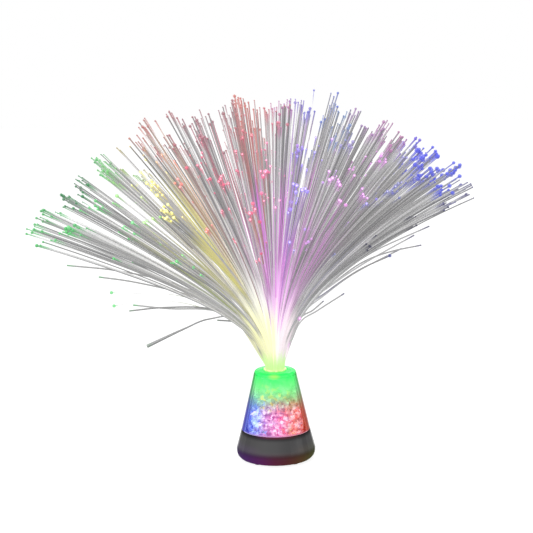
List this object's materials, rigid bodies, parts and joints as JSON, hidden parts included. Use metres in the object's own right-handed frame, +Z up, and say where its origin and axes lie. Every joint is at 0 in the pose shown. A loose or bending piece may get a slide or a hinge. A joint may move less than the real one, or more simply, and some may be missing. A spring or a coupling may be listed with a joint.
{
  "type": "fiber optic lamp",
  "caption": "Battery table lamp: black base, clear cone full of ice crystals, and a plug-in spray of light fibres that fans out wide.",
  "frame": {"origin": "on the axis of the base, at the height of the table that the feet stand on", "axes": "+Z up along the cone's axis, -Y towards the viewer of the picture, +X to the viewer's right; the spray is widest along X"},
  "size_m": [0.3863, 0.3425, 0.3237],
  "materials": {
    "gloss_black": "gloss",
    "grey_plastic": "satin",
    "white_plastic": "satin",
    "ivory_plastic": "satin",
    "clear_plastic": "clear gloss",
    "ice_crystal": "clear, cracked",
    "fibre": "clear gloss",
    "rubber": "matte",
    "zinc_steel": "zinc plated",
    "nickel": "nickel plated",
    "cell_jacket": "printed sleeve",
    "circuit_board": "solder mask",
    "chip_black": "matte",
    "led_lens": "clear",
    "wire_red": "satin",
    "wire_black": "satin",
    "wire_yellow": "satin"
  },
  "bodies": {
    "base": {"base_housing": "gloss_black", "switch_body": "gloss_black", "battery_tray": "grey_plastic", "led_deck": "white_plastic", "cone_shell": "clear_plastic", "light_tube": "clear_plastic", "crystal_lower_1": "ice_crystal", "crystal_lower_2": "ice_crystal", "crystal_lower_3": "ice_crystal", "crystal_lower_4": "ice_crystal", "crystal_lower_5": "ice_crystal", "crystal_lower_6": "ice_crystal", "crystal_upper_1": "ice_crystal", "crystal_upper_2": "ice_crystal", "crystal_upper_3": "ice_crystal", "crystal_upper_4": "ice_crystal", "crystal_upper_5": "ice_crystal", "foot_1": "rubber", "foot_2": "rubber", "foot_3": "rubber", "foot_4": "rubber", "switch_frame": "zinc_steel", "case_screw_1": "zinc_steel", "case_screw_2": "zinc_steel", "case_screw_3": "zinc_steel", "case_screw_4": "zinc_steel", "board_screw_1": "zinc_steel", "board_screw_2": "zinc_steel", "switch_screw_1": "zinc_steel", "switch_screw_2": "zinc_steel", "contact_positive": "nickel", "contact_negative": "nickel", "contact_bridge_1": "nickel", "contact_bridge_2": "nickel", "contact_spring_1": "nickel", "contact_spring_2": "nickel", "contact_spring_3": "nickel", "battery_cell_1": "cell_jacket", "battery_cell_2": "cell_jacket", "battery_cell_3": "cell_jacket", "circuit_board": "circuit_board", "controller_chip": "chip_black", "centre_led": "led_lens", "side_led_1": "led_lens", "side_led_2": "led_lens", "side_led_3": "led_lens", "side_led_4": "led_lens", "wire_positive": "wire_red", "wire_negative": "wire_black", "wire_switched": "wire_yellow"},
    "spray": {"ferrule": "clear_plastic", "fibre_bundle_1": "fibre", "fibre_bundle_2": "fibre", "fibre_bundle_3": "fibre", "fibre_bundle_4": "fibre", "fibre_bundle_5": "fibre", "fibre_bundle_6": "fibre"},
    "door": {"battery_door": "gloss_black"},
    "door_screw": {"door_screw": "zinc_steel"},
    "switch": {"switch_knob": "ivory_plastic"}
  },
  "joints": [
    {"name": "switch_slide", "type": "slide", "parent": "base", "child": "switch", "axis": [1, 0, 0], "range_m": [0, 0.002]},
    {"name": "battery_door_hinge", "type": "hinge", "parent": "base", "child": "door", "pos_m": [0, -0.01755, 0.0008], "axis": [-1, 0, 0], "range_deg": [0, 75]},
    {"name": "door_screw_out", "type": "slide", "parent": "door", "child": "door_screw", "axis": [0, 0, -1], "range_m": [0, 0.003]},
    {"name": "spray_lift", "type": "slide", "parent": "base", "child": "spray", "axis": [0, 0, 1], "range_m": [0, 0.03]}
  ]
}
